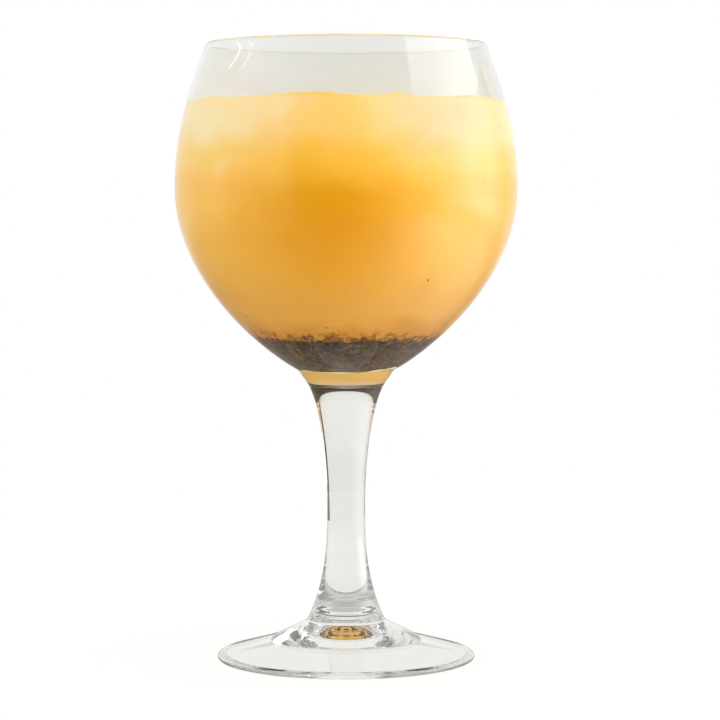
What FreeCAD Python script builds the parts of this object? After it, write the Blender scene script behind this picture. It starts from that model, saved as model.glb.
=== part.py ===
import FreeCAD, Part
import math
import os

# A filled balloon goblet: one pressed and blown piece of clear glass, a cloudy
# cold drink, a layer of soaked seeds settled on the floor of the bowl, and
# five floating pieces of ice. Millimetres, +Z up, origin at the centre of the
# foot's resting ring. All turned shapes are drawn in the X-Z half plane.

# ---- driving dimensions: the glass -----------------------------------------

# foot
foot_radius = 39.9
foot_edge_height = 2.0        # height of the rounded edge
foot_edge_crest = 1.0         # height of the widest point of the edge
foot_edge_round = 1.3         # how far the edge's rounding reaches in
rest_ring_width = 1.6         # flat ring that the glass stands on
cone_base_radius = 23.3       # where the disc turns up into the cone
cone_base_height = 6.4
underside_shoulder = 8.0      # radius where the underside's cone rounds into its crown
underside_shoulder_height = 8.2
underside_rise = 9.4          # height of the crown above the ground
underside_flat = 2.6          # handle of the crown's curve at its centre

# stem
collar_radius = 12.1          # crease where the cone meets the stem's flare
collar_height = 12.0
flare_angle = 26.0            # lean of the flare at the crease
flare_fullness = 15.0         # handle of the flare's curve at the crease
waist_radius = 5.9
waist_height = 46.0           # where the flare ends
waist_length = 4.0            # straight stretch of the stem
waist_easing = 6.7            # handle of both curves at the waist
neck_length = 37.3            # from the waist up to the neck
neck_radius = 13.2
neck_angle = 42.0
neck_fullness = 9.0
corner_rise = 2.5             # from the neck to the bowl's outer base

# bowl
bowl_base_radius = 15.1
bowl_base_angle = 61.0        # lean of the bowl's wall at its base
bowl_base_fullness = 14.0
bowl_height = 100.2           # from the bowl's outer base to the rim
widest_above_base = 56.2
bowl_radius = 52.8
belly_below = 28.0            # handles of the wall's curves at the widest point
belly_above = 21.5
rim_radius = 43.3
rim_angle = 15.5
rim_easing = 4.5
rim_wall = 1.4
bowl_wall = 1.5
base_wall = 2.4
floor_fall = 3.4              # the rounded floor lies this much below its edge

# ---- driving dimensions: the contents --------------------------------------

drink_below_rim = 18.0
seed_depth = 11.6             # mean depth of the seeds above the floor
seed_mound = 1.3              # height of the rise towards the front
seed_ripple = 0.5             # height of the small unevenness
ice_count = 5
ice_gap = 2.0                 # least gap between neighbouring pieces
ice_wall_clearance = 1.0      # least gap between ice and glass
ice_corner = 4.5              # melted edge radius
ice_first_azimuth = 250.0
# For each piece: its share of the largest size that fits, how far its centre
# lies below the drink's surface as a share of its side, its turn, its two tilts.
ice_pieces = [
    (1.00, 0.445, 8.0, 3.0, 0.0),
    (0.94, 0.500, 45.0, 10.0, 12.0),
    (0.88, 0.450, 31.0, 9.0, 6.0),
    (1.00, 0.430, 5.0, -8.0, 7.0),
    (0.90, 0.470, 67.0, 7.0, -8.0),
]

# ---- levels that follow from them ------------------------------------------

waist_top = waist_height + waist_length
neck_height = waist_top + neck_length
bowl_base_height = neck_height + corner_rise
widest_height = bowl_base_height + widest_above_base
rim_height = bowl_base_height + bowl_height
lip_round = rim_wall / 2
drink_level = rim_height - drink_below_rim


# ---- turned outlines --------------------------------------------------------

def at(radius, height):
    return FreeCAD.Vector(radius, 0, height)


def leaning(point, angle, length):
    """The handle that leaves a point upwards, leaning out by an angle from the vertical."""
    lean = math.radians(angle)
    return at(point.x + length * math.sin(lean), point.z + length * math.cos(lean))


def curve(start, start_handle, end_handle, end):
    bezier = Part.BezierCurve()
    bezier.setPoles([start, start_handle, end_handle, end])
    return bezier


def line(start, end):
    return Part.LineSegment(start, end)


def turned(curves):
    """The solid of revolution about Z of a closed chain of curves."""
    wire = Part.Wire([piece.toShape() for piece in curves])
    face = Part.Face(wire)
    solid = face.revolve(FreeCAD.Vector(0, 0, 0), FreeCAD.Vector(0, 0, 1), 360)
    return solid if solid.Volume > 0 else solid.reversed()


def foot_outline():
    """From the centre of the underside, round the edge and up to the crease of the collar."""
    ring_outer = foot_radius - foot_edge_round
    ring_inner = ring_outer - rest_ring_width
    shoulder = at(underside_shoulder, underside_shoulder_height)
    inner_foot = at(ring_inner, 0)
    crown = curve(
        at(0, underside_rise),
        at(underside_flat, underside_rise),
        shoulder + (shoulder - inner_foot).normalize() * (underside_shoulder / 3),
        shoulder,
    )
    hollow = line(shoulder, inner_foot)
    ring = line(inner_foot, at(ring_outer, 0))
    edge_low = curve(
        at(ring_outer, 0),
        at(ring_outer + foot_edge_round / 2, 0),
        at(foot_radius, foot_edge_crest / 2),
        at(foot_radius, foot_edge_crest),
    )
    edge_high = curve(
        at(foot_radius, foot_edge_crest),
        at(foot_radius, (foot_edge_crest + foot_edge_height) / 2),
        at(ring_outer + foot_edge_round / 2, foot_edge_height - foot_edge_round / 8),
        at(ring_outer, foot_edge_height + foot_edge_round / 8),
    )
    disc = line(edge_high.EndPoint, at(cone_base_radius, cone_base_height))
    cone = line(disc.EndPoint, at(collar_radius, collar_height))
    return [crown, hollow, ring, edge_low, edge_high, disc, cone]


def stem_outline():
    """From the crease of the collar up to the bowl's outer base."""
    collar = at(collar_radius, collar_height)
    neck = at(neck_radius, neck_height)
    bowl_base = at(bowl_base_radius, bowl_base_height)
    flare = curve(
        collar,
        leaning(collar, -flare_angle, flare_fullness),
        at(waist_radius, waist_height - waist_easing),
        at(waist_radius, waist_height),
    )
    waist = line(flare.EndPoint, at(waist_radius, waist_top))
    throat = curve(
        waist.EndPoint,
        at(waist_radius, waist_top + waist_easing),
        leaning(neck, neck_angle, -neck_fullness),
        neck,
    )
    corner = curve(
        neck,
        leaning(neck, neck_angle, corner_rise / 3),
        leaning(bowl_base, bowl_base_angle, -corner_rise / 3),
        bowl_base,
    )
    return [flare, waist, throat, corner]


def bowl_outline():
    """The outside of the bowl, from its base up to the lip."""
    base = at(bowl_base_radius, bowl_base_height)
    widest = at(bowl_radius, widest_height)
    lip = at(rim_radius, rim_height - lip_round)
    lower = curve(
        base,
        leaning(base, bowl_base_angle, bowl_base_fullness),
        at(widest.x, widest.z - belly_below),
        widest,
    )
    upper = curve(
        widest,
        at(widest.x, widest.z + belly_above),
        leaning(lip, -rim_angle, -rim_easing),
        lip,
    )
    return [lower, upper]


def inside_outline():
    """The inside of the bowl, from the lip down to the middle of the floor."""
    lip = at(rim_radius - rim_wall, rim_height - lip_round)
    widest = at(bowl_radius - bowl_wall, widest_height)
    lean = math.radians(bowl_base_angle)
    floor_edge = at(
        bowl_base_radius - base_wall * math.cos(lean),
        bowl_base_height + base_wall * math.sin(lean),
    )
    floor = at(0, floor_edge.z - floor_fall)
    upper = curve(
        lip,
        leaning(lip, -rim_angle, -rim_easing),
        at(widest.x, widest.z + belly_above),
        widest,
    )
    lower = curve(
        widest,
        at(widest.x, widest.z - belly_below),
        leaning(floor_edge, bowl_base_angle, bowl_base_fullness),
        floor_edge,
    )
    bottom = curve(
        floor_edge,
        leaning(floor_edge, bowl_base_angle, -floor_edge.x / 2),
        at(floor_edge.x / 2, floor.z),
        floor,
    )
    return [upper, lower, bottom]


def floor_height():
    return inside_outline()[-1].EndPoint.z


# ---- the glass --------------------------------------------------------------

def goblet():
    inside = inside_outline()
    outside = foot_outline() + stem_outline() + bowl_outline()
    crown = at(rim_radius - lip_round, rim_height)
    lip = Part.Arc(outside[-1].EndPoint, crown, inside[0].StartPoint)
    axis = line(inside[-1].EndPoint, outside[0].StartPoint)
    return turned(outside + [lip] + inside + [axis])


def bowl_space():
    """All the room inside the bowl, up to a lid across the lip."""
    inside = inside_outline()
    centre = at(0, inside[0].StartPoint.z)
    lid = line(centre, inside[0].StartPoint)
    axis = line(inside[-1].EndPoint, centre)
    return turned([lid] + inside + [axis])


def below(height):
    """A block wider than the bowl whose top lies at a height."""
    side = 2 * (bowl_radius + bowl_wall)
    corner = FreeCAD.Vector(-side / 2, -side / 2, 0)
    return Part.makeBox(side, side, height, corner)


# ---- the seeds --------------------------------------------------------------

def seed_top(x, y):
    """Height of the settled seeds: a low mound towards the front, and ripples."""
    reach = bowl_base_radius
    mound = seed_mound * math.exp(-((x / reach) ** 2 + ((y + reach) / reach) ** 2))
    ripple = math.sin(0.29 * x + 1.3) * math.cos(0.23 * y - 0.4) + 0.6 * math.sin(0.17 * x - 0.31 * y + 2.1)
    return floor_height() + seed_depth + mound + seed_ripple * ripple


def seed_layer():
    """Everything in the bowl that lies under the uneven top of the seeds."""
    steps = 25
    half_width = bowl_radius
    ticks = [half_width * (2 * i / (steps - 1) - 1) for i in range(steps)]
    rows = [[FreeCAD.Vector(x, y, seed_top(x, y)) for y in ticks] for x in ticks]
    surface = Part.BSplineSurface()
    surface.interpolate(rows)
    block = surface.toShape().extrude(FreeCAD.Vector(0, 0, -2 * seed_depth))
    return bowl_space().common(block)


# ---- the ice ----------------------------------------------------------------

def inner_radius_at(height):
    """Radius of the inside of the bowl above its widest point."""
    wall = inside_outline()[0]
    low, high = 0.0, 1.0
    for _ in range(40):
        middle = (low + high) / 2
        if wall.value(middle).z > height:
            low = middle
        else:
            high = middle
    return wall.value(low).x


def ice_layout():
    """The side of the largest piece, and the radius of the ring of centres, so
    that neighbours keep their gap and the corners clear the glass."""
    room = inner_radius_at(drink_level) - ice_wall_clearance
    chord = 2 * math.sin(math.pi / ice_count)
    diagonal = math.sqrt(2)
    side = (room - ice_gap / chord) / (diagonal / 2 + diagonal / chord)
    return side, (side * diagonal + ice_gap) / chord


def ice(index):
    """One piece of ice: a cube with melted edges, tilted, floating in its own place."""
    share, sunk, turn, tilt_x, tilt_y = ice_pieces[index]
    largest, ring = ice_layout()
    side = largest * share
    azimuth = math.radians(ice_first_azimuth + 360 * index / ice_count)
    corner = FreeCAD.Vector(-side / 2, -side / 2, -side / 2)
    cube = Part.makeBox(side, side, side, corner)
    cube = cube.makeFillet(min(ice_corner, side / 3), cube.Edges)
    centre = FreeCAD.Vector(ring * math.cos(azimuth), ring * math.sin(azimuth), drink_level - side * sunk)
    cube.Placement = FreeCAD.Placement(centre, FreeCAD.Rotation(turn, tilt_y, tilt_x))
    return cube


# ---- the drink --------------------------------------------------------------

def drink(seeds, ice_solids):
    """The liquid: the bowl's room up to the level, less what lies or floats in it."""
    liquid = bowl_space().common(below(drink_level))
    return liquid.cut([seeds] + ice_solids)


def export(name, shape):
    solid = shape.Solids[0]
    if len(shape.Solids) != 1 or not solid.isValid():
        raise ValueError(name + " is not one valid solid")
    solid.exportStep("parts/" + name + ".step")
    print(name, round(solid.Volume / 1000, 2), "cm3")


os.makedirs("parts", exist_ok=True)
ice_solids = [ice(index) for index in range(ice_count)]
seeds = seed_layer()
export("goblet", goblet())
export("seed_layer", seeds)
export("drink", drink(seeds, ice_solids))
for index, solid in enumerate(ice_solids):
    export("ice_%d" % (index + 1), solid)
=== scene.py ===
import math
import random

import bpy
import bmesh
from mathutils import Matrix, Vector, noise


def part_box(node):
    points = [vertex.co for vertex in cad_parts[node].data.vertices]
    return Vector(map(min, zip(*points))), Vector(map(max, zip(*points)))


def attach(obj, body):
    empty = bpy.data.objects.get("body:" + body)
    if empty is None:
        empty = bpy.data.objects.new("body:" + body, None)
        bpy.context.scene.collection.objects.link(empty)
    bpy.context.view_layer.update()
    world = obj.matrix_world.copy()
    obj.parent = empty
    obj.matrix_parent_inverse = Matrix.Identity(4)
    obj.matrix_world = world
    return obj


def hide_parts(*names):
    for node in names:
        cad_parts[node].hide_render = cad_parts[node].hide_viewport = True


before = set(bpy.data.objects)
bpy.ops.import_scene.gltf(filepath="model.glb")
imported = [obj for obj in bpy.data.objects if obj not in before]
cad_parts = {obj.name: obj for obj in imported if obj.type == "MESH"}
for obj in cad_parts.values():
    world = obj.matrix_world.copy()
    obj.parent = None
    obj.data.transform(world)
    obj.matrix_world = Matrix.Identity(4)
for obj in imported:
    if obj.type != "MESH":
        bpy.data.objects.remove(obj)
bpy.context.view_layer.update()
scene = bpy.context.scene
MM = 0.001

# ----------------------------
# The goblet: one piece of clear glass. The stem and foot are pressed, the bowl
# is blown and joined hot, and the lip is fire-polished. Everything is turned
# about one axis, so an outline is spun.

goblet_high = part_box("goblet")[1]
rim_height = goblet_high[2]
bowl_radius = goblet_high[0]

foot_radius = 39.9 * MM
edge_height = 2.0 * MM
edge_crest = 1.0 * MM
edge_round = 1.3 * MM
ring_width = 1.6 * MM
cone_radius = 23.3 * MM
cone_height = 6.4 * MM
shoulder_radius = 8.0 * MM
shoulder_height = 8.2 * MM
crown_height = 9.4 * MM
crown_flat = 2.6 * MM
collar_radius = 12.1 * MM
collar_height = 12.0 * MM
flare_angle = 26.0
flare_fullness = 15.0 * MM
waist_radius = 5.9 * MM
waist_height = 46.0 * MM
waist_top = 50.0 * MM
waist_easing = 6.7 * MM
neck_radius = 13.2 * MM
neck_height = 87.3 * MM
neck_angle = 42.0
neck_fullness = 9.0 * MM
corner_rise = 2.5 * MM
base_radius = 15.1 * MM
base_height = neck_height + corner_rise
base_angle = 61.0
base_fullness = 14.0 * MM
widest_height = 146.0 * MM
belly_below = 28.0 * MM
belly_above = 21.5 * MM
rim_radius = 43.3 * MM
rim_angle = 15.5
rim_easing = 4.5 * MM
rim_wall = 1.4 * MM
bowl_wall = 1.5 * MM
base_wall = 2.4 * MM
floor_fall = 3.4 * MM
goblet_segments = 160

# fine rings round the glass: height, how far each stands out, half its width
rings = [
    (12.9 * MM, 0.06 * MM, 0.28 * MM),
    (14.6 * MM, -0.08 * MM, 0.30 * MM),
    (16.6 * MM, 0.05 * MM, 0.35 * MM),
    (88.6 * MM, 0.05 * MM, 0.16 * MM),
]
# and round the hollow underside: radius, how far each is sunk in, half its width
underside_rings = [
    (10.4 * MM, 0.03 * MM, 0.5 * MM),
    (13.2 * MM, 0.03 * MM, 0.6 * MM),
]

glass_tint = (0.93, 0.935, 0.915, 1)
glass_bending = 1.5
let_through = (0.97, 0.97, 0.97, 1)
wave_scale, wave_depth, wave_share = 60, 0.05 * MM, 0.012


def at(radius, height):
    return Vector((radius, height))


def leaning(point, angle, length):
    """The point that lies a length away, upwards and leaning out by an angle."""
    lean = math.radians(angle)
    return point + Vector((math.sin(lean), math.cos(lean))) * length


def curve(start, start_handle, end_handle, end, steps):
    """Points along a cubic curve, without its last."""
    points = []
    for i in range(steps):
        t = i / steps
        u = 1 - t
        points.append(u**3 * start + 3 * u * u * t * start_handle + 3 * u * t * t * end_handle + t**3 * end)
    return points


def straight(start, end, steps):
    return [start.lerp(end, i / steps) for i in range(steps)]


def foot_points():
    """From the middle of the hollow underside, round the edge and up the cone to the collar."""
    ring_outer = foot_radius - edge_round
    ring_inner = ring_outer - ring_width
    edge_top = at(ring_outer, edge_height + edge_round / 8)
    crest = at(foot_radius, edge_crest)
    shoulder = at(shoulder_radius, shoulder_height)
    inner_foot = at(ring_inner, 0)
    into_crown = (shoulder - inner_foot).normalized() * shoulder_radius / 3
    points = curve(at(0, crown_height), at(crown_flat, crown_height), shoulder + into_crown, shoulder, 32)
    points += straight(shoulder, inner_foot, 110)
    for radius, swell, width in underside_rings:
        for point in points:
            point.y += swell * math.exp(-(((point.x - radius) / width) ** 2))
    points += straight(inner_foot, at(ring_outer, 0), 3)
    points += curve(
        at(ring_outer, 0), at(ring_outer + edge_round / 2, 0), at(foot_radius, edge_crest / 2), crest, 8
    )
    points += curve(
        crest, at(foot_radius, (edge_crest + edge_height) / 2),
        at(ring_outer + edge_round / 2, edge_height - edge_round / 8), edge_top, 8,
    )
    points += straight(edge_top, at(cone_radius, cone_height), 20)
    points += straight(at(cone_radius, cone_height), at(collar_radius, collar_height), 14)
    return points


def stem_points():
    """From the collar up the stem, round the neck's corner to the base of the bowl."""
    collar = at(collar_radius, collar_height)
    neck = at(neck_radius, neck_height)
    base = at(base_radius, base_height)
    points = curve(
        collar, leaning(collar, -flare_angle, flare_fullness), at(waist_radius, waist_height - waist_easing),
        at(waist_radius, waist_height), 110,
    )
    points += straight(at(waist_radius, waist_height), at(waist_radius, waist_top), 4)
    points += curve(
        at(waist_radius, waist_top), at(waist_radius, waist_top + waist_easing),
        leaning(neck, neck_angle, -neck_fullness), neck, 44,
    )
    points += curve(
        neck, leaning(neck, neck_angle, corner_rise / 3), leaning(base, base_angle, -corner_rise / 3),
        base, 56,
    )
    for height, swell, width in rings:
        for point in points:
            point.x += swell * math.exp(-(((point.y - height) / width) ** 2))
    return points


def bowl_points():
    """Up the outside of the bowl, over its belly to the lip."""
    base = at(base_radius, base_height)
    widest = at(bowl_radius, widest_height)
    lip = at(rim_radius, rim_height - rim_wall / 2)
    points = curve(
        base, leaning(base, base_angle, base_fullness), at(widest.x, widest.y - belly_below), widest, 64
    )
    points += curve(
        widest, at(widest.x, widest.y + belly_above), leaning(lip, -rim_angle, -rim_easing), lip, 48
    )
    return points


def lip_points():
    """Half round over the fire-polished lip."""
    centre = at(rim_radius - rim_wall / 2, rim_height - rim_wall / 2)
    turns = 10
    return [
        centre + at(math.cos(math.pi * i / turns), math.sin(math.pi * i / turns)) * rim_wall / 2
        for i in range(turns)
    ]


def inside_points():
    """The inside of the bowl from the lip down to the middle of its floor."""
    lip = at(rim_radius - rim_wall, rim_height - rim_wall / 2)
    widest = at(bowl_radius - bowl_wall, widest_height)
    lean = math.radians(base_angle)
    floor_edge = at(base_radius - base_wall * math.cos(lean), base_height + base_wall * math.sin(lean))
    floor = at(0, floor_edge.y - floor_fall)
    points = curve(
        lip, leaning(lip, -rim_angle, -rim_easing), at(widest.x, widest.y + belly_above), widest, 48
    )
    points += curve(
        widest, at(widest.x, widest.y - belly_below), leaning(floor_edge, base_angle, base_fullness),
        floor_edge, 64,
    )
    points += curve(
        floor_edge, leaning(floor_edge, base_angle, -floor_edge.x / 2), at(floor_edge.x / 2, floor.y),
        floor, 24,
    )
    return points + [floor]


def put(name, data):
    """A new object, put in the scene."""
    piece = bpy.data.objects.new(name, data)
    scene.collection.objects.link(piece)
    return piece


def placed(name, shape):
    """The object of a finished shape, shaded smooth."""
    for face in shape.faces:
        face.smooth = True
    data = bpy.data.meshes.new(name)
    shape.to_mesh(data)
    shape.free()
    return put(name, data)


def hoop(shape, radius, height, segments):
    """A level ring of points round the axis."""
    angles = [2 * math.pi * i / segments for i in range(segments)]
    return [shape.verts.new((radius * math.cos(angle), radius * math.sin(angle), height)) for angle in angles]


def spun(name, outline, segments):
    """A smooth closed mesh: an outline that starts and ends on the axis, turned round it."""
    shape = bmesh.new()
    hoops = []
    for point in outline:
        if point.x < 1e-7:  # on the axis
            hoops.append([shape.verts.new((0, 0, point.y))])
        else:
            hoops.append(hoop(shape, point.x, point.y, segments))
    for low, high in zip(hoops, hoops[1:]):
        for i in range(segments):
            j = (i + 1) % segments
            corners = [low[i % len(low)], low[j % len(low)], high[j % len(high)], high[i % len(high)]]
            shape.faces.new(list(dict.fromkeys(corners)))
    bmesh.ops.recalc_face_normals(shape, faces=shape.faces)
    return placed(name, shape)


def feed(node, values):
    """Sets sockets of a node, by name or number, to values of their own or to what other nodes give."""
    for key, value in values.items():
        socket = node.inputs[key]
        if isinstance(value, bpy.types.NodeSocket):
            socket.id_data.links.new(value, socket)
        else:
            socket.default_value = value


def finish_of(piece, name):
    """A new material on a piece: its nodes, its shader and its output."""
    material = bpy.data.materials.new(name)
    material.use_nodes = True
    piece.data.materials.clear()
    piece.data.materials.append(material)
    nodes = material.node_tree.nodes
    return nodes, nodes["Principled BSDF"], nodes["Material Output"]


def place_on(nodes):
    """Where on its piece a point of the surface lies, in metres."""
    return nodes.new("ShaderNodeTexCoord").outputs["Object"]


def speckle(nodes, place, scale, detail, roughness):
    """A noise in space, scale in spots to the metre."""
    texture = nodes.new("ShaderNodeTexNoise")
    feed(texture, {"Scale": scale, "Detail": detail, "Roughness": roughness, "Vector": place})
    return texture.outputs["Fac"]


def roughen(nodes, shader, height, depth, share=1.0):
    """Lets fine unevenness of a depth show in a surface."""
    relief = nodes.new("ShaderNodeBump")
    feed(relief, {"Strength": share, "Distance": depth, "Height": height})
    feed(shader, {"Normal": relief.outputs["Normal"]})


def blended(nodes, share, first, second):
    """Two shaders, the second by a share from 0 to 1."""
    mix = nodes.new("ShaderNodeMixShader")
    feed(mix, {0: share, 1: first, 2: second})
    return mix.outputs[0]


goblet_outline = foot_points() + stem_points() + bowl_points() + lip_points() + inside_points()
goblet = spun("goblet_glass", goblet_outline, goblet_segments)
nodes, shader, output = finish_of(goblet, "clear_glass")
place = place_on(nodes)
feed(shader, {"Base Color": glass_tint, "Transmission Weight": 1, "Roughness": 0.0, "IOR": glass_bending})
roughen(nodes, shader, speckle(nodes, place, wave_scale, 1, 0.5), wave_depth, wave_share)
# light falls through the glass on what is in it and behind it
light_path = nodes.new("ShaderNodeLightPath")
clear = nodes.new("ShaderNodeBsdfTransparent")
feed(clear, {"Color": let_through})
finished = shader.outputs["BSDF"]
for kind in ("Is Shadow Ray", "Is Diffuse Ray"):
    finished = blended(nodes, light_path.outputs[kind], finished, clear.outputs["BSDF"])
feed(output, {"Surface": finished})
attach(goblet, "root")
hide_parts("goblet")

# ----------------------------
# The settled seeds: small soaked seeds in their grey jelly, sunk to the floor
# of the bowl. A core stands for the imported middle; the seeds that show through
# the glass and along the ragged top edge are real ones, pressed against the wall.

seed_depth = 11.6 * MM
core_into_wall = 0.30 * MM
seed_into_wall = 0.42 * MM
floor_height = inside_points()[-1].y
seed_line = floor_height + seed_depth
core_columns, core_rows, core_top_rows = 180, 40, 15

# the ragged top: how far it swings and how many swings to the metre, broad ones and fine ones
broad_swing, broad_scale = 0.9 * MM, 70
fine_swing, fine_scale = 0.7 * MM, 320
# a seed, least and most: half its length in millimetres, its width and thickness as shares of that
seed_length, seed_width, seed_thickness = (0.70, 1.05), (0.58, 0.75), (0.42, 0.55)
seed_taper = 0.28
wall_count = 1500
wall_sinks = (0.6, 1.0)  # shares of seed_into_wall
# seeds are laid a little past the layer's edge, but most of those that stand over its top are left out
border_overshoot = 1.06
stray_height, strays_left_out = 0.2 * MM, 0.75
# where the layer is thin it is painted paler, as painted light that shows through it: from and to which
# depth under its top, and by how much; from and to how far in front of the axis, and by how much
thin_from, thin_to, thin_share = 2 * MM, 7 * MM, 0.03
front_from, front_to, aside_share = 22 * MM, 12 * MM, 0.24
grain_scale, grain_share, patch_scale, patch_share, grain_depth = 520, 0.6, 130, 0.4, 0.4 * MM
seed_tone_scale, haze_scale, haze_from, haze_to, haze_share = 560, 75, 0.48, 0.66, 0.42
# a patch at the front of the floor that the seeds leave free
clearing_x, clearing_y = 0.8 * MM, -3.5 * MM
clearing_radius, clearing_width = 8.7 * MM, 1.62


def wall_walk(sink):
    """The inside of the bowl from the middle of its floor upwards, sunk into the glass."""
    inner = inside_points()
    walk = [at(0, inner[-1].y - sink)]
    for above, point, below in zip(inner[-3::-1], inner[-2:0:-1], inner[:1:-1]):
        along = (above - below).normalized()
        walk.append(point + Vector((along.y, -along.x)) * sink)
    return walk


def seed_top(x, y):
    """Height of the ragged top of the seeds."""
    broad = noise.noise(Vector((x, y, 0)) * broad_scale + Vector((3.1, 0.4, 0)))
    fine = noise.noise(Vector((x, y, 0.02)) * fine_scale)
    return seed_line + broad_swing * broad + fine_swing * fine


def heap(name, height_at, sink, columns, rows, top_rows):
    """A mesh that fills the bowl from its floor up to an uneven surface."""
    walk = wall_walk(sink)
    least_step = 0.05  # as a share of the step before the surface is met
    shape = bmesh.new()
    bottom = shape.verts.new((0, 0, walk[0].y))
    grid = []
    for i in range(columns):
        angle = 2 * math.pi * i / columns
        facing = Vector((math.cos(angle), math.sin(angle)))
        # up the wall as far as the surface
        stations = [walk[0]]
        for before, point in zip(walk, walk[1:]):
            top = height_at(point.x * facing.x, point.x * facing.y)
            if point.y >= top:
                share = (top - before.y) / (point.y - before.y) if point.y > before.y else 1
                stations.append(before.lerp(point, min(max(share, least_step), 1)))
                break
            stations.append(point)
        lengths = [0]
        for before, point in zip(stations, stations[1:]):
            lengths.append(lengths[-1] + (point - before).length)
        # and shared out again, so that all columns have as many points
        column = []
        for row in range(1, rows + 1):
            target = lengths[-1] * row / rows
            k = 1
            while k < len(lengths) - 1 and lengths[k] < target:
                k += 1
            span = lengths[k] - lengths[k - 1]
            point = stations[k - 1].lerp(stations[k], (target - lengths[k - 1]) / span)
            column.append(shape.verts.new((point.x * facing.x, point.x * facing.y, point.y)))
        for row in range(1, top_rows + 1):
            radius = stations[-1].x * (1 - row / (top_rows + 1))
            x, y = radius * facing.x, radius * facing.y
            column.append(shape.verts.new((x, y, height_at(x, y))))
        grid.append(column)
    crown = shape.verts.new((0, 0, height_at(0, 0)))
    for here, there in zip(grid, grid[1:] + grid[:1]):
        shape.faces.new([bottom, here[0], there[0]])
        for k in range(len(here) - 1):
            shape.faces.new([here[k], here[k + 1], there[k + 1], there[k]])
        shape.faces.new([here[-1], crown, there[-1]])
    bmesh.ops.recalc_face_normals(shape, faces=shape.faces)
    return placed(name, shape)


def tone(red, green, blue):
    """A colour named as it looks, each share from 0 to 255, as the light that it gives back."""
    return tuple(((share / 255 + 0.055) / 1.055) ** 2.4 for share in (red, green, blue)) + (1,)


def worked_out(nodes, operation, *values, clamped=False):
    """A sum with numbers or with what other nodes give."""
    node = nodes.new("ShaderNodeMath")
    node.operation = operation
    node.use_clamp = clamped
    feed(node, dict(enumerate(values)))
    return node.outputs[0]


def mapped(nodes, value, start, end, low=0.0, high=1.0, easing="LINEAR"):
    """From low to high as a value goes from its start to its end."""
    node = nodes.new("ShaderNodeMapRange")
    node.interpolation_type = easing
    feed(node, {"Value": value, "From Min": start, "From Max": end, "To Min": low, "To Max": high})
    return node.outputs["Result"]


def parts_of(nodes, place):
    """The X, Y and Z of a place."""
    split = nodes.new("ShaderNodeSeparateXYZ")
    feed(split, {0: place})
    return split.outputs


def stirred(nodes, share, first, second):
    """Two colours, the second by a share from 0 to 1."""
    mix = nodes.new("ShaderNodeMix")
    mix.data_type = "RGBA"
    feed(mix, {"Factor": share, 6: first, 7: second})
    return mix.outputs[2]


def banded(nodes, share, steps, easing="LINEAR"):
    """Colours one after the other, each with its place from 0 to 1."""
    ramp = nodes.new("ShaderNodeValToRGB")
    ramp.color_ramp.interpolation = easing
    elements = ramp.color_ramp.elements
    while len(elements) < len(steps):
        elements.new(0.5)
    for element, (spot, colour) in zip(elements, steps):
        element.position = spot
        element.color = colour
    feed(ramp, {"Fac": share})
    return ramp.outputs["Color"]


def paleness(nodes, place):
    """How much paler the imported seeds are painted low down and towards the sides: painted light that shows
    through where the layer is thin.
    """
    parts = parts_of(nodes, place)
    low = mapped(nodes, parts["Z"], seed_line - thin_from, seed_line - thin_to, high=thin_share)
    aside = mapped(nodes, parts["Y"], -front_from, -front_to, high=aside_share)
    return worked_out(nodes, "ADD", low, aside)


core_tones = [
    (0.36, tone(38, 24, 13)), (0.47, tone(62, 43, 25)), (0.56, tone(86, 64, 40)), (0.68, tone(118, 96, 62)),
]
jelly_tone = tone(132, 112, 84)
seed_core = heap("seed_core", seed_top, core_into_wall, core_columns, core_rows, core_top_rows)
nodes, shader, output = finish_of(seed_core, "packed_seeds")
place = place_on(nodes)
grain = speckle(nodes, place, grain_scale, 2.0, 0.7)
patches = worked_out(nodes, "MULTIPLY", speckle(nodes, place, patch_scale, 2.0, 0.6), patch_share)
mottled = worked_out(nodes, "MULTIPLY_ADD", grain, grain_share, patches)
# the core grows paler towards the jelly's tone as painted light, where light shows through the thin layer
core_colour = stirred(nodes, paleness(nodes, place), banded(nodes, mottled, core_tones), jelly_tone)
feed(shader, {"Base Color": core_colour, "Roughness": 0.5, "Specular IOR Level": 0.2})
roughen(nodes, shader, grain, grain_depth)
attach(seed_core, "root")
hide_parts("seed_layer")

seed_draw = random.Random(41)
wall_line = wall_walk(0)
wall_lengths = [0.0]
for before, point in zip(wall_line, wall_line[1:]):
    wall_lengths.append(wall_lengths[-1] + (point - before).length)


def wall_spot(length):
    """The point of the wall at a length from the middle of the floor, and the way out of it."""
    k = 1
    while wall_lengths[k] < length:
        k += 1
    share = (length - wall_lengths[k - 1]) / (wall_lengths[k] - wall_lengths[k - 1])
    along = (wall_line[k] - wall_line[k - 1]).normalized()
    return wall_line[k - 1].lerp(wall_line[k], share), Vector((along.y, -along.x))


ball = bmesh.new()
bmesh.ops.create_icosphere(ball, subdivisions=2, radius=1)
ball_points = [vertex.co.copy() for vertex in ball.verts]
ball_faces = [[vertex.index for vertex in face.verts] for face in ball.faces]
ball.free()


def seed_at(spot, turn, size, points, faces):
    """Adds one seed: a plump teardrop, narrower at one end."""
    first = len(points)
    for co in ball_points:
        narrow = 1 - seed_taper * co.x
        shaped = Vector((co.x * size[0], co.y * size[1] * narrow, co.z * size[2] * narrow))
        points.append(spot + turn @ shaped)
    faces.extend([first + index for index in face] for face in ball_faces)


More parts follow.
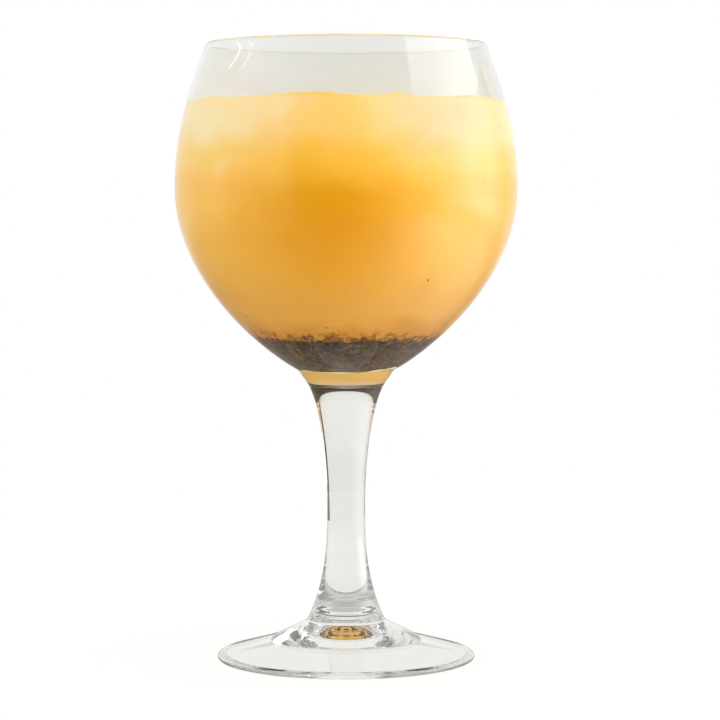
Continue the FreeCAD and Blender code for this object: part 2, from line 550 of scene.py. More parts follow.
def on_wall(length, azimuth, size, sink, points, faces):
    """Lays one seed flat against the inside of the glass, turned as it happens to lie."""
    point, outward = wall_spot(length)
    facing = Vector((math.cos(azimuth), math.sin(azimuth), 0))
    normal = (facing * outward.x + Vector((0, 0, outward.y))).normalized()
    spot = facing * point.x + Vector((0, 0, point.y)) + normal * (sink - size[2])
    flat = normal.to_track_quat("Z", "Y").to_matrix()
    turn = flat @ Matrix.Rotation(seed_draw.uniform(0, 2 * math.pi), 3, "Z")
    seed_at(spot, turn, size, points, faces)


def seed_size():
    """Half the length, width and thickness of the next seed."""
    half = seed_draw.uniform(*seed_length) * MM
    return half, half * seed_draw.uniform(*seed_width), half * seed_draw.uniform(*seed_thickness)


def joined(name, points, faces):
    """One smooth mesh of all the seeds of a kind."""
    data = bpy.data.meshes.new(name)
    data.from_pydata([tuple(point) for point in points], [], faces)
    for face in data.polygons:
        face.use_smooth = True
    return put(name, data)


def dark_seed_finish(piece, name, steps, hazed):
    """Seeds of many tones, some hazed over by their jelly, and painted paler where light shows through the
    thin layer.
    """
    nodes, shader, output = finish_of(piece, name)
    place = place_on(nodes)
    each = banded(nodes, speckle(nodes, place, seed_tone_scale, 1.0, 0.5), steps)
    hazy = mapped(nodes, speckle(nodes, place, haze_scale, 2.0, 0.5), haze_from, haze_to, high=haze_share)
    # hazed by the jelly at random, and painted paler as light that shows through the thin layer
    pale = worked_out(nodes, "ADD", hazy, paleness(nodes, place), clamped=True)
    colour = stirred(nodes, pale, each, hazed)
    feed(shader, {"Base Color": colour, "Roughness": 0.4, "Specular IOR Level": 0.25})
    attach(piece, "root")


border_reach = 0.0
for length, point in zip(wall_lengths, wall_line):
    if point.y < seed_line:
        border_reach = length

seed_points, seed_faces = [], []
placed_count = 0
while placed_count < wall_count:
    length = border_reach * border_overshoot * math.sqrt(seed_draw.random())
    azimuth = seed_draw.uniform(0, 2 * math.pi)
    point = wall_spot(length)[0]
    x, y = point.x * math.cos(azimuth), point.x * math.sin(azimuth)
    over = point.y - seed_top(x, y)
    if over > stray_height and seed_draw.random() < strays_left_out:
        continue
    placed_count += 1
    from_clearing = Vector(((x - clearing_x) / clearing_width, y - clearing_y)).length
    if from_clearing < clearing_radius:
        continue
    size = seed_size()
    on_wall(length, azimuth, size, seed_into_wall * seed_draw.uniform(*wall_sinks), seed_points, seed_faces)
wall_seeds = joined("wall_seeds", seed_points, seed_faces)
wall_seed_tones = [
    (0.36, tone(20, 8, 3)), (0.50, tone(46, 24, 11)), (0.60, tone(70, 45, 23)), (0.74, tone(96, 72, 44)),
]
dark_seed_finish(wall_seeds, "soaked_seed", wall_seed_tones, tone(128, 106, 76))

# ----------------------------
# The loose seeds: soaked seeds that haven't settled. Most hang in small tufts
# along the top of the layer, and a few drift higher up. The drink is cloudy, so
# only those that touch the glass can be seen, and only those are made.

tuft_count = 150
tuft_rise = 0.9  # how far tufts stand over the layer on average, in millimetres along the wall
tuft_seeds = (1, 5)  # fewest and most in a tuft
tuft_along, tuft_aside = (-1.2, 0.8), 0.06  # how they scatter: millimetres along the wall, radians round it
loose_shares = (0.45, 0.9)  # their sizes as shares of a settled seed's
loose_sinks = (0.60, 0.90)  # shares of seed_into_wall
drifting_into_wall = 0.30 * MM
# those that drift alone: azimuth in degrees, height in millimetres
drifting = [
    (-147.5, 107.5), (-56.0, 118.0), (-38.0, 147.0), (38.0, 112.0), (95.0, 121.0), (150.0, 109.0),
    (-100.0, 104.5),
]

loose_points, loose_faces = [], []
for _ in range(tuft_count):
    tuft_azimuth = seed_draw.uniform(0, 2 * math.pi)
    rise = seed_draw.expovariate(1 / tuft_rise) * MM
    for _ in range(seed_draw.randint(*tuft_seeds)):
        length = border_reach + rise + seed_draw.uniform(*tuft_along) * MM
        size = tuple(half * seed_draw.uniform(*loose_shares) for half in seed_size())
        azimuth = tuft_azimuth + seed_draw.gauss(0, tuft_aside)
        sink = seed_into_wall * seed_draw.uniform(*loose_sinks)
        on_wall(length, azimuth, size, sink, loose_points, loose_faces)
for azimuth, height in drifting:
    length = next(reach for reach, point in zip(wall_lengths, wall_line) if point.y > height * MM)
    on_wall(length, math.radians(azimuth), seed_size(), drifting_into_wall, loose_points, loose_faces)
loose_seeds = joined("loose_seeds", loose_points, loose_faces)
loose_seed_tones = [
    (0.36, tone(40, 22, 10)), (0.50, tone(84, 50, 24)), (0.62, tone(132, 84, 40)), (0.74, tone(160, 110, 56)),
]
dark_seed_finish(loose_seeds, "drifting_seed", loose_seed_tones, tone(150, 104, 60))

# ----------------------------
# The ice: cubes that have half melted. Their edges are round, their faces
# dished, and each has a cloudy heart of fine bubbles. Where a piece stands out
# of the drink a film of the drink clings to it.

water_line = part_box("drink")[1][2]
ice_grain = 0.75 * MM
ice_rounding = 6
# how deep the faces are dished: on average, how far that swings, a finer ripple, and the least
dish_depth, dish_swing, dish_ripple, dish_least = 0.55 * MM, 0.8 * MM, 0.25 * MM, 0.1 * MM
dish_scale, ripple_finer, next_piece = 95, 3.1, 7.3
ice_tint = (0.98, 0.95, 0.86, 1)
ice_bending, ice_roughness = 1.31, 0.08
pit_scale, pit_depth, pit_share = 260, 0.3 * MM, 0.5
frost_tone, frost_roughness, frost_least, frost_most = tone(255, 242, 208), 0.22, 0.62, 0.92
# the film of drink: how high it clings, how patchy it is, how sharp its patches are, its least share
wet_tone, wet_roughness, wet_height = tone(247, 196, 96), 0.15, 5.0 * MM
wet_patchiness, wet_sharpness, wet_least = 1.1, 1.6, 0.10


def evaluated_mesh(piece):
    """The mesh of a piece with its modifiers worked in."""
    bpy.context.view_layer.update()
    return bpy.data.meshes.new_from_object(piece.evaluated_get(bpy.context.evaluated_depsgraph_get()))


def melted(piece, number):
    """Rounds and dishes a cut piece of ice, each in its own way."""
    voxels = piece.modifiers.new("voxels", "REMESH")
    voxels.mode = "VOXEL"
    voxels.voxel_size = ice_grain
    rounding = piece.modifiers.new("rounding", "SMOOTH")
    rounding.iterations = ice_rounding
    mesh = evaluated_mesh(piece)
    piece.modifiers.clear()
    piece.data = mesh
    for vertex in mesh.vertices:
        here = vertex.co * dish_scale + Vector((number * next_piece, 0, 0))
        dish = dish_depth + dish_swing * noise.noise(here) + dish_ripple * noise.noise(here * ripple_finer)
        vertex.co -= vertex.normal * max(dish, dish_least)
    for face in mesh.polygons:
        face.use_smooth = True


def coat(nodes, colour, roughness):
    """A plain shader of one colour."""
    layer = nodes.new("ShaderNodeBsdfPrincipled")
    feed(layer, {"Base Color": colour, "Roughness": roughness})
    return layer.outputs["BSDF"]


ice_pieces = []
for number, node in enumerate(sorted(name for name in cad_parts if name.startswith("ice_"))):
    piece = put(node + "_melting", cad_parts[node].data.copy())
    melted(piece, number)
    nodes, shader, output = finish_of(piece, node + "_clear")
    place = place_on(nodes)
    feed(shader, {"Base Color": ice_tint, "Transmission Weight": 1})
    feed(shader, {"IOR": ice_bending, "Roughness": ice_roughness})
    roughen(nodes, shader, speckle(nodes, place, pit_scale, 3.0, 0.5), pit_depth, pit_share)
    cloudy = mapped(nodes, speckle(nodes, place, 95, 3.0, 0.6), 0.38, 0.62, frost_least, frost_most)
    heart = blended(nodes, cloudy, shader.outputs["BSDF"], coat(nodes, frost_tone, frost_roughness))
    height = parts_of(nodes, place)["Z"]
    high = mapped(nodes, height, water_line + wet_height, water_line, easing="SMOOTHSTEP")
    patchy = worked_out(nodes, "MULTIPLY_ADD", speckle(nodes, place, 150, 2.0, 0.5), -wet_patchiness, high)
    cover = worked_out(nodes, "MULTIPLY_ADD", patchy, wet_sharpness, wet_least, clamped=True)
    feed(output, {"Surface": blended(nodes, cover, heart, coat(nodes, wet_tone, wet_roughness))})
    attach(piece, "root")
    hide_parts(node)
    ice_pieces.append(piece)

# ----------------------------
# The drink: a cloudy orange drink, poured in up to its level and cut round the
# ice. It is paler near its surface, partly where ice lies close under it and partly
# as painted light from above, has deeper amber patches of painted shade where light
# travels far through it, and is brown with fine bits close over the seeds. It
# reaches a little into the glass, so that no air shows between them.

drink_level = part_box("drink")[1][2]
drink_into_wall = 0.25 * MM
drink_foot = seed_line - 5 * MM
drink_segments, surface_steps = 192, 59
meniscus = 0.7 * MM
creep = 1.6 * MM
# where the surface lifts over the ice: from which share of the way out, and over how much of it
shore, shore_width = 0.75, 0.17
lift_swing, lift_scale = 0.5, 260
# close to the wall, the lifted surface follows the wall inwards
lean_from, lean_in = 0.97, 0.3
# where ice lies against the glass: azimuth and half the width in degrees, millimetres that it lifts
mounds = [
    (256, 12.5, 0.95), (288.5, 4.2, 0.80), (322, 10, 0.6), (5, 6, 0.5), (34, 12, 0.8), (80, 5, 0.5),
    (106, 11, 0.9), (148, 6, 0.5), (178, 12, 0.8), (214, 5, 0.4),
]
# from the floor at 0 to the level at 1: the colours near the sides and where one looks deep in. Both
# grow paler upwards, partly as painted light from above; the deep ones are painted shade, for light
# that travels far through the cloudy drink
outer_tones = [
    (0.12, tone(199, 137, 54)), (0.24, tone(223, 168, 76)), (0.45, tone(236, 182, 78)),
    (0.66, tone(245, 191, 82)), (0.80, tone(253, 206, 112)), (0.92, tone(255, 222, 168)),
]
deep_shade_tones = [
    (0.12, tone(195, 130, 54)), (0.26, tone(212, 150, 56)), (0.48, tone(219, 152, 2)),
    (0.62, tone(222, 158, 6)), (0.80, tone(235, 182, 42)), (0.95, tone(245, 198, 92)),
]
# deep patches of painted shade, for light that travels far through the cloudy drink: centre and reach in
# millimetres, strength
painted_shade_patches = [
    ((-4, -50, 139), (44, 60, 46), 1.0),
    ((-2, -48, 166), (30, 34, 20), 0.75),
    ((38, -30, 158), (30, 34, 32), 0.55),
    ((40, 34, 134), (40, 44, 38), 1.0),
    ((-44, 30, 137), (38, 40, 36), 1.0),
]
# pale clouds where ice lies close under the surface: centre and reach in millimetres
clouds = [
    ((-38, -30, 164), (15, 15, 9)),
    ((-18, -45, 168), (7, 8, 5)),
    ((-33, -35, 152), (7, 8, 4)),
    ((28, -41, 163), (8, 8, 5)),
    ((37, 30, 166), (14, 14, 8)),
    ((-20, 44, 165), (13, 12, 8)),
]
cloud_tone, cloud_share = tone(255, 230, 190), 0.48
# a warmer patch high up on the right, where the light falls on it
warm_patch = ((32, -36, 168), (30, 34, 24))
warm_tone, warm_share = tone(254, 192, 150), 0.75
# the smoke of fine bits over the seeds: its height swings with a noise, and it fades upwards
smoke_swing, smoke_sink, smoke_fade = 12 * MM, -3.4 * MM, 3.0 * MM
smoke_tone, smoke_share = tone(92, 56, 30), 0.86
swirl_scale, swirl_push = 38, 22 * MM
gleam_depth, gleam_least, gleam_most = 0.4 * MM, 0.06, 0.5


def drink_shape():
    """The drink spun about the axis, its surface drawn up at the wall and over the ice."""
    wall = [point for point in reversed(wall_walk(drink_into_wall)) if drink_foot < point.y < drink_level]
    edge = wall[0].x
    surface = []
    for i in range(surface_steps + 1):
        radius = edge * i / surface_steps
        surface.append(at(radius, drink_level - meniscus * (1 - math.exp((radius - edge) / creep))))
    drink = spun("orange_drink", surface + wall + [at(0, wall[-1].y)], drink_segments)
    for vertex in drink.data.vertices:
        spot = vertex.co
        radius = math.hypot(spot.x, spot.y)
        if spot.z < drink_level - meniscus - 0.01 * MM or radius < shore * edge:
            continue
        azimuth = math.degrees(math.atan2(spot.y, spot.x)) % 360
        rise = 0
        for middle, half_width, tall in mounds:
            away = abs((azimuth - middle + 180) % 360 - 180) / half_width
            rise = max(rise, tall * math.exp(-(away ** 4)))
        rough = 1 + lift_swing * noise.noise(spot * lift_scale)
        lift = rise * rough * MM * min((radius / edge - shore) / shore_width, 1)
        spot.z += lift
        if radius > lean_from * edge:
            spot.x *= 1 - lean_in * lift / radius
            spot.y *= 1 - lean_in * lift / radius
    return drink


def vector_worked_out(nodes, operation, *values, scale=1.0):
    """A sum with places or directions; only SCALE uses the scale."""
    node = nodes.new("ShaderNodeVectorMath")
    node.operation = operation
    feed(node, {**dict(enumerate(values)), 3: scale})
    return node.outputs["Value" if operation == "LENGTH" else "Vector"]


def soft_spot(nodes, place, centre, reach):
    """1 at a centre, fading to 0 at its reach along each axis."""
    away = vector_worked_out(nodes, "SUBTRACT", place, centre)
    share = vector_worked_out(nodes, "DIVIDE", away, reach)
    return mapped(nodes, vector_worked_out(nodes, "LENGTH", share), 1, 0, easing="SMOOTHSTEP")


def patch(nodes, place, centre, reach):
    """A soft spot given in millimetres."""
    return soft_spot(nodes, place, [value * MM for value in centre], [value * MM for value in reach])


def strongest(nodes, shares):
    """The greatest of some shares."""
    greatest = shares[0]
    for share in shares[1:]:
        greatest = worked_out(nodes, "MAXIMUM", greatest, share)
    return greatest


drink = drink_shape()
for piece in ice_pieces:
    cut = drink.modifiers.new("cut", "BOOLEAN")
    cut.object = piece
    cut.operation = "DIFFERENCE"
    cut.solver = "EXACT"
poured = evaluated_mesh(drink)
drink.modifiers.clear()
drink.data = poured

nodes, shader, output = finish_of(drink, "orange_drink")
place = place_on(nodes)
swirl = nodes.new("ShaderNodeTexNoise")
feed(swirl, {"Scale": swirl_scale, "Detail": 3, "Vector": place})
centred = vector_worked_out(nodes, "SUBTRACT", swirl.outputs["Color"], (0.5, 0.5, 0.5))
push = vector_worked_out(nodes, "SCALE", centred, scale=swirl_push)
swirled = vector_worked_out(nodes, "ADD", place, push)
level = mapped(nodes, parts_of(nodes, swirled)["Z"], floor_height, drink_level)
# painted shade: how far each point lies in the deep amber patches
depth = strongest(nodes, [
    worked_out(nodes, "MULTIPLY", patch(nodes, swirled, centre, reach), strength)
    for centre, reach, strength in painted_shade_patches
])
# the colour by height, paler upwards partly as painted light from above, and a deeper amber in the painted
# shade
colour = stirred(
    nodes, depth, banded(nodes, level, outer_tones, "EASE"), banded(nodes, level, deep_shade_tones, "EASE")
)
cloudy = strongest(nodes, [patch(nodes, swirled, centre, reach) for centre, reach in clouds])
colour = stirred(nodes, worked_out(nodes, "MULTIPLY", cloudy, cloud_share), colour, cloud_tone)
warmed = worked_out(nodes, "MULTIPLY", patch(nodes, swirled, *warm_patch), warm_share)
colour = stirred(nodes, warmed, colour, warm_tone)
height = parts_of(nodes, place)["Z"]
smoke = worked_out(nodes, "MULTIPLY_ADD", speckle(nodes, place, 400, 3.0, 0.65), smoke_swing, smoke_sink)
smoke = worked_out(nodes, "SUBTRACT", smoke, worked_out(nodes, "SUBTRACT", height, seed_line))
smoke = worked_out(nodes, "MAXIMUM", worked_out(nodes, "DIVIDE", smoke, smoke_fade), 0.0)
colour = stirred(nodes, worked_out(nodes, "MINIMUM", smoke, smoke_share), colour, smoke_tone)
# it gleams on its open surface, hardly at all where it lies against the glass
gleam = mapped(nodes, height, drink_level - gleam_depth, drink_level, gleam_least, gleam_most)
feed(shader, {"Base Color": colour, "Roughness": 0.12, "IOR": 1.34, "Specular IOR Level": gleam})
feed(shader, {
    "Subsurface Weight": 1.0, "Subsurface Radius": (1.0, 0.55, 0.2), "Subsurface Scale": 2 * MM,
})
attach(drink, "root")
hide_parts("drink")

# ----------------------------
# The film on the wall: a faint yellow sheet just inside the glass above the
# drink's level, a painted reflection of the drink's colour carried up in the glass.
# It thins out upwards.

film_top = drink_level + 10 * MM
film_clearance, film_overlap = 0.02 * MM, 0.5 * MM
film_columns = 160
reflection_cover = 0.13

film_foot = drink_level - film_overlap
film_walk = [point for point in wall_walk(-film_clearance) if film_foot < point.y < film_top]
shape = bmesh.new()
film_hoops = [hoop(shape, point.x, point.y, film_columns) for point in film_walk]
for low, high in zip(film_hoops, film_hoops[1:]):
    for i in range(film_columns):
        j = (i + 1) % film_columns
        shape.faces.new([low[i], low[j], high[j], high[i]])
film = placed("drink_reflection_film", shape)
nodes, shader, output = finish_of(film, "drink_reflection")
place = place_on(nodes)
# the painted reflection of the drink: faint yellow, fading out upwards in patches
thin = mapped(nodes, parts_of(nodes, place)["Z"], film_top, drink_level, high=reflection_cover)
cover = worked_out(nodes, "MULTIPLY", thin, speckle(nodes, place, 55, 2.0, 0.5))
feed(shader, {"Base Color": tone(255, 216, 120), "Roughness": 0.5, "Alpha": cover})
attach(film, "root")

# ----------------------------
# The puddle under the seeds: the little of the drink that has run in between
# them and the floor of the bowl. It shows as a yellow band in the neck, with a
# pale ring painted along its edge: a painted highlight of the light that the
# glass throws back at the edge of the bowl's floor.

puddle_into_wall = 0.5 * MM
puddle_centre = Vector((0.8 * MM, -3.6 * MM))
puddle_radius = 8.7 * MM
puddle_width = 1.62
puddle_depth = 1.4 * MM
puddle_swing, puddle_scale = 0.07, 2.3  # how ragged its edge is
puddle_columns, puddle_rows = 72, 14
# where the painted highlight along the puddle's edge begins and where it is full
highlight_start, highlight_full = 0.93 * puddle_radius, 0.96 * puddle_radius


def floor_at(radius):
    """Height of the bowl's floor at a radius, sunk into the glass."""
    walk = wall_walk(puddle_into_wall)
    for before, point in zip(walk, walk[1:]):
        if point.x >= radius:
            return before.lerp(point, (radius - before.x) / (point.x - before.x)).y


shape = bmesh.new()
under, over = [], []
for row in range(1, puddle_rows + 1):
    low_ring, high_ring = [], []
    for i in range(puddle_columns):
        angle = 2 * math.pi * i / puddle_columns
        facing = Vector((math.cos(angle), math.sin(angle)))
        ragged = 1 + puddle_swing * noise.noise(Vector((facing.x, facing.y, 0)) * puddle_scale)
        reach = Vector((facing.x * puddle_width, facing.y)) * (puddle_radius * ragged * row / puddle_rows)
        spot = puddle_centre + reach
        low = floor_at(spot.length)
        low_ring.append(shape.verts.new((spot.x, spot.y, low)))
        if row == puddle_rows:
            high_ring.append(low_ring[-1])
        else:
            thick = puddle_depth * math.sqrt(1 - (row / puddle_rows) ** 2)
            high_ring.append(shape.verts.new((spot.x, spot.y, low + thick)))
    under.append(low_ring)
    over.append(high_ring)
middle_height = floor_at(puddle_centre.length)
low_middle = shape.verts.new((puddle_centre.x, puddle_centre.y, middle_height))
high_middle = shape.verts.new((puddle_centre.x, puddle_centre.y, middle_height + puddle_depth))
for i in range(puddle_columns):
    j = (i + 1) % puddle_columns
    for middle, side in ((low_middle, under), (high_middle, over)):
        shape.faces.new([middle, side[0][i], side[0][j]])
    for row in range(puddle_rows - 1):
        for side in (under, over):
            shape.faces.new([side[row][i], side[row + 1][i], side[row + 1][j], side[row][j]])
bmesh.ops.recalc_face_normals(shape, faces=shape.faces)
puddle = placed("drink_under_seeds", shape)
nodes, shader, output = finish_of(puddle, "thin_orange_drink")
place = place_on(nodes)
faint = speckle(nodes, place, 90, 2.0, 0.5)
thin_drink = stirred(nodes, faint, tone(220, 170, 78), tone(232, 183, 92))
from_middle = vector_worked_out(nodes, "SUBTRACT", place, (puddle_centre.x, puddle_centre.y, 0))
squashed = vector_worked_out(nodes, "MULTIPLY", from_middle, (1 / puddle_width, 1, 0))
# a pale ring along the edge: a painted highlight of light thrown back by the glass
edge_highlight = mapped(nodes, vector_worked_out(nodes, "LENGTH", squashed), highlight_start, highlight_full)
colour = stirred(nodes, edge_highlight, thin_drink, tone(246, 232, 206))
feed(shader, {"Base Color": colour, "Roughness": 0.3, "IOR": 1.34})
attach(puddle, "root")

# ----------------------------
# The studio: a pale paper floor that fades into a white surround, in an even
# white room. The glass sees a surround of its own, lit behind it and dim in
# front, since clear glass only shows what stands round it.

floor_reach = 3.0
behind = 0.88
warm_white = (1, 0.995, 0.975, 1)
clean_white = (1.0, 1.0, 1.0, 1)
room_light = (1.13, 1.13, 1.11, 1)
# how bright the surround is by azimuth, from straight behind the glass at 0 to the right
surround = [
    (-180, 0.12), (-150, 0.14), (-108, 0.55), (-88, 0.84), (-60, 0.80), (-42, behind), (42, behind),
    (62, 0.72), (105, 0.50), (150, 0.14), (180, 0.12),
]
horizon_lift, lift_height = 1.06, 0.06
# the soft glow on the right: which way it lies, how far it reaches and its light
glow_way, glow_reach, glow_light = (0.99, 0.08, 0.10), (0.62, 0.75, 0.68), (4.15, 4.15, 4.1, 1)

floor_paper = (0.9, 0.9, 0.9, 1)
# the floor as the glass mirrors it: dim close by, but lit on the right by the softbox
dim_reach, dim_light = (1.1, 1.1, 1.1), (0.20, 0.195, 0.18, 1)
lit_centre, lit_reach, lit_light = (0.32, -0.05, 0), (0.34, 0.36, 1), (2.2, 2.2, 2.15, 1)
# under the foot: how far out from the middle, and the light at the back, in front and under the stem
foot_reach, stem_reach, foot_fullness = (0.060, 0.060, 1), (0.022, 0.022, 1), 4.0
wandering = 2.5  # light that has turned more often than this is darkened there
back_light, front_light, stem_light = (0.60, 0.61, 0.58, 1), (0.25, 0.25, 0.23, 1), (0.78, 0.79, 0.75, 1)
# how far out the paper keeps its shadows, and how much of them
shadow_reach, shadow_share = (0.42, 0.42, 0.42), 0.50


def dimmed(colour, share):
    """A share of the light of a colour."""
    return tuple(share * part for part in colour[:3]) + (1,)


def surround_light(nodes, way):
    """What the glass sees in a direction: light behind it, a dim room in front, a soft glow on the right."""
    parts = parts_of(nodes, way)
    # how far round from straight behind the glass a direction lies, to the right positive
    turn = worked_out(nodes, "ARCTAN2", parts["X"], parts["Y"])
    share = worked_out(nodes, "MULTIPLY_ADD", turn, 0.5 / math.pi, 0.5)
    around = banded(
        nodes, share, [(azimuth / 360 + 0.5, dimmed(warm_white, bright)) for azimuth, bright in surround]
    )
    lift = mapped(nodes, parts["Z"], 0.0, lift_height, 1.0, horizon_lift, "SMOOTHSTEP")
    lifted = vector_worked_out(nodes, "SCALE", around, scale=lift)
    return stirred(nodes, soft_spot(nodes, way, glow_way, glow_reach), lifted, glow_light)


def seen_in_glass(nodes):
    """The light path, and 1 for what is seen in or through the glass."""
    path = nodes.new("ShaderNodeLightPath").outputs
    return path, worked_out(nodes, "MAXIMUM", path["Is Glossy Ray"], path["Is Transmission Ray"])


floor_mesh = bpy.data.meshes.new("floor")
corners = [(x * floor_reach, y * floor_reach, 0) for x, y in ((-1, -1), (1, -1), (1, 1), (-1, 1))]
floor_mesh.from_pydata(corners, [], [(0, 1, 2, 3)])
floor = put("floor", floor_mesh)
nodes, shader, output = finish_of(floor, "floor_paper")
place = place_on(nodes)
feed(shader, {"Base Color": floor_paper, "Roughness": 0.9, "Specular IOR Level": 0.1})
path, in_glass = seen_in_glass(nodes)
mirrored = worked_out(
    nodes, "GREATER_THAN", in_glass, worked_out(nodes, "ADD", path["Is Transmission Ray"], 0.5)
)
# mirrored by the glass, the floor is dim but where the softbox lights it
far_gleam = surround_light(nodes, vector_worked_out(nodes, "NORMALIZE", place))
gleam = stirred(nodes, soft_spot(nodes, place, (0, 0, 0), dim_reach), far_gleam, dim_light)
gleam = stirred(nodes, soft_spot(nodes, place, lit_centre, lit_reach), gleam, lit_light)
# through the glass it is as light as the surround, but darker under the foot for light that has
# wandered about in the glass
wandered = worked_out(nodes, "GREATER_THAN", path["Ray Depth"], wandering)
under_foot = worked_out(nodes, "MULTIPLY", soft_spot(nodes, place, (0, 0, 0), foot_reach), foot_fullness)
under_foot = worked_out(nodes, "MULTIPLY", worked_out(nodes, "MINIMUM", under_foot, 1.0), wandered)
in_front = mapped(nodes, parts_of(nodes, place)["Y"], 10 * MM, -8 * MM)
under_light = stirred(nodes, in_front, back_light, front_light)
under_light = stirred(nodes, soft_spot(nodes, place, (0, 0, 0), stem_reach), under_light, stem_light)
through = stirred(nodes, under_foot, dimmed(warm_white, behind), under_light)
straight_look = stirred(nodes, path["Is Camera Ray"], through, clean_white)
white = nodes.new("ShaderNodeEmission")
feed(white, {"Color": stirred(nodes, mirrored, straight_look, gleam)})
# close to the glass the paper shows by its own light too, and keeps the shadow
near = soft_spot(nodes, place, (0, 0, 0), shadow_reach)
share = worked_out(
    nodes, "MULTIPLY", worked_out(nodes, "MAXIMUM", path["Is Camera Ray"], in_glass),
    worked_out(nodes, "MULTIPLY_ADD", near, -shadow_share, 1.0),
)
share = worked_out(nodes, "MAXIMUM", share, worked_out(nodes, "MAXIMUM", mirrored, under_foot))
feed(output, {"Surface": blended(nodes, share, shader.outputs["BSDF"], white.outputs[0])})

world = bpy.data.worlds.new("studio")
scene.world = world
world.use_nodes = True
nodes = world.node_tree.nodes
path, in_glass = seen_in_glass(nodes)
way = nodes.new("ShaderNodeTexCoord").outputs["Generated"]
light = stirred(nodes, in_glass, room_light, surround_light(nodes, way))
light = stirred(nodes, path["Is Camera Ray"], light, clean_white)
feed(nodes["Background"], {"Color": light, "Strength": 1.0})

# ----------------------------
# The side light: a wide low softbox on the right, in front of the glass and
# aimed at the bowl. It lights the drink and the floor. Its own picture in the
# glass is left to the lit cards.

side_width, side_tall, side_radiance = 0.90, 0.36, 2.2
side_turn, side_distance, side_height, side_aim = math.radians(58), 0.75, 0.20, 0.12
side_data = bpy.data.lights.new("side_light", "AREA")
side_data.shape = "RECTANGLE"
side_data.size = side_width
side_data.size_y = side_tall
side_data.energy = side_radiance * math.pi * side_width * side_tall
side_light = put("side_light", side_data)
side_light.location = (side_distance * math.sin(side_turn), -side_distance * math.cos(side_turn), side_height)
side_way = Vector((0, 0, side_aim)) - side_light.location
side_light.rotation_euler = side_way.to_track_quat("-Z", "Y").to_euler()
side_light.visible_glossy = False
side_light.visible_transmission = False

# ----------------------------
# The lit cards: a large softbox on the right and two narrow strips on the left.
# They stand far off and show only as gleams on the glass.

card_steps, card_distance, glass_shoulder = 24, 2.6, Vector((0, 0, 0.18))
# a card's left edge fades in over a share of its width: the least above soft_top, more below it
soft_least, soft_more, soft_top = 0.02, 0.35, 0.6


def lit_card(name, corners, radiance, fade):
    """Its corners, lower left first and then round, are directions seen from the glass's shoulder:
    azimuth from the front to the right, and elevation. Its light fades in over a share of its height."""
    shape = bmesh.new()
    lit_share = shape.verts.layers.float.new("lit_share")
    low_left, low_right, high_right, high_left = (Vector(corner) for corner in corners)
    rows = []
    for row in range(card_steps + 1):
        high = row / card_steps
        rows.append([])
        for column in range(card_steps + 1):
            across = column / card_steps
            way = low_left.lerp(low_right, across).lerp(high_left.lerp(high_right, across), high)
            turn, rise = (math.radians(angle) for angle in way)
            way = Vector((math.sin(turn) * math.cos(rise), -math.cos(turn) * math.cos(rise), math.sin(rise)))
            spot = shape.verts.new(glass_shoulder + way * card_distance)
            share = min(high / fade, 1)
            side = min(across / (soft_least + soft_more * max(soft_top - high, 0)), 1)
            spot[lit_share] = share * share * (3 - 2 * share) * side
            rows[-1].append(spot)
    for low, high in zip(rows, rows[1:]):
        for i in range(card_steps):
            shape.faces.new([low[i], low[i + 1], high[i + 1], high[i]])
    card = bpy.data.meshes.new(name)
    shape.to_mesh(card)
    shape.free()
    piece = put(name, card)
    nodes, shader, output = finish_of(piece, name + "_light")
    lit_part = nodes.new("ShaderNodeAttribute")
    lit_part.attribute_name = "lit_share"
    lit = nodes.new("ShaderNodeEmission")
    feed(lit, {"Strength": radiance})
    clear = nodes.new("ShaderNodeBsdfTransparent")
    feed(output, {"Surface": blended(nodes, lit_part.outputs["Fac"], clear.outputs[0], lit.outputs[0])})
    piece.visible_camera = False
    piece.visible_diffuse = False
    piece.visible_shadow = False
    piece.visible_transmission = False


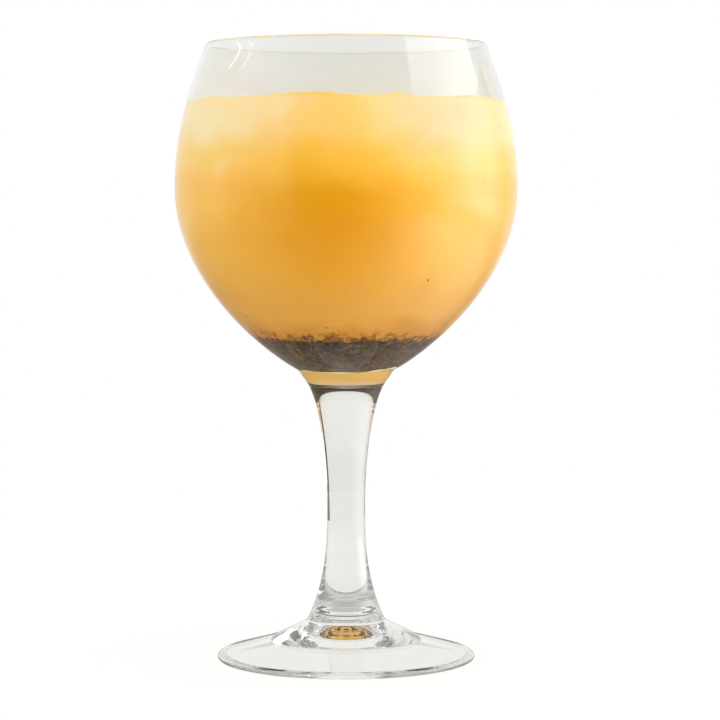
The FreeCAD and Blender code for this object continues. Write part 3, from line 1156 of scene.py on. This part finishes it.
lit_card("right_softbox", [(44, 18), (105, 10), (127, 27), (55, 42)], 3.1, 0.95)
lit_card("left_strip", [(-109.3, 24.5), (-106.4, 25.2), (-98.8, 30.4), (-101.4, 29.6)], 3.6, 0.4)
lit_card("left_strip_near", [(-95.6, 27.7), (-93.0, 28.3), (-87.2, 33.0), (-89.7, 32.4)], 3.0, 0.4)


# ----------------------------
# The dark flags: dark cloths that stand behind the glass, one on each side. They
# show only through the glass, where they draw the dark lines along its edges.

flag_clearance = 2 * MM  # over the floor


def flag(name, azimuth, distance, width, tall, foot, bright):
    """A standing cloth with a foot that lies on the floor towards the glass. Its azimuth runs from
    straight behind to the right."""
    turn = math.radians(azimuth)
    facing = Vector((math.sin(turn), math.cos(turn), 0))
    along = Vector((math.cos(turn), -math.sin(turn), 0)) * width / 2
    base = facing * distance + Vector((0, 0, flag_clearance))
    toe, top = base - facing * foot, base + Vector((0, 0, tall))
    card = bpy.data.meshes.new(name)
    edges = [toe - along, toe + along, base + along, base - along, top + along, top - along]
    card.from_pydata(edges, [], [(0, 1, 2, 3), (3, 2, 4, 5)])
    piece = put(name, card)
    nodes, shader, output = finish_of(piece, name + "_cloth")
    dark = nodes.new("ShaderNodeEmission")
    feed(dark, {"Color": bright})
    feed(output, {"Surface": dark.outputs[0]})
    piece.visible_camera = False
    piece.visible_diffuse = False
    piece.visible_glossy = False
    piece.visible_shadow = False


flag("right_flag", 61, 0.50, 0.17, 0.34, 0.17, (0.12, 0.085, 0.06, 1))
flag("left_flag", -72, 0.50, 0.10, 0.07, 0.12, (0.20, 0.14, 0.10, 1))

# ----------------------------
# The camera: a long lens, level with the bowl and tilted slightly down. Light
# may turn often enough to come through all the layers of glass.

camera_place, camera_tilt = (0.0043, -0.791, 0.1335), 2.95
light_turns, clear_layers = 24, 16
camera_data = bpy.data.cameras.new("camera")
camera_data.lens = 128.0
camera_data.sensor_width = 36.0
camera_data.clip_start = 0.01
camera = put("camera", camera_data)
camera.location = camera_place
camera.rotation_euler = (math.radians(90 - camera_tilt), 0, 0)
scene.camera = camera
scene.view_settings.view_transform = "Standard"
scene.cycles.max_bounces = light_turns
scene.cycles.glossy_bounces = light_turns
scene.cycles.transmission_bounces = light_turns
scene.cycles.transparent_max_bounces = clear_layers
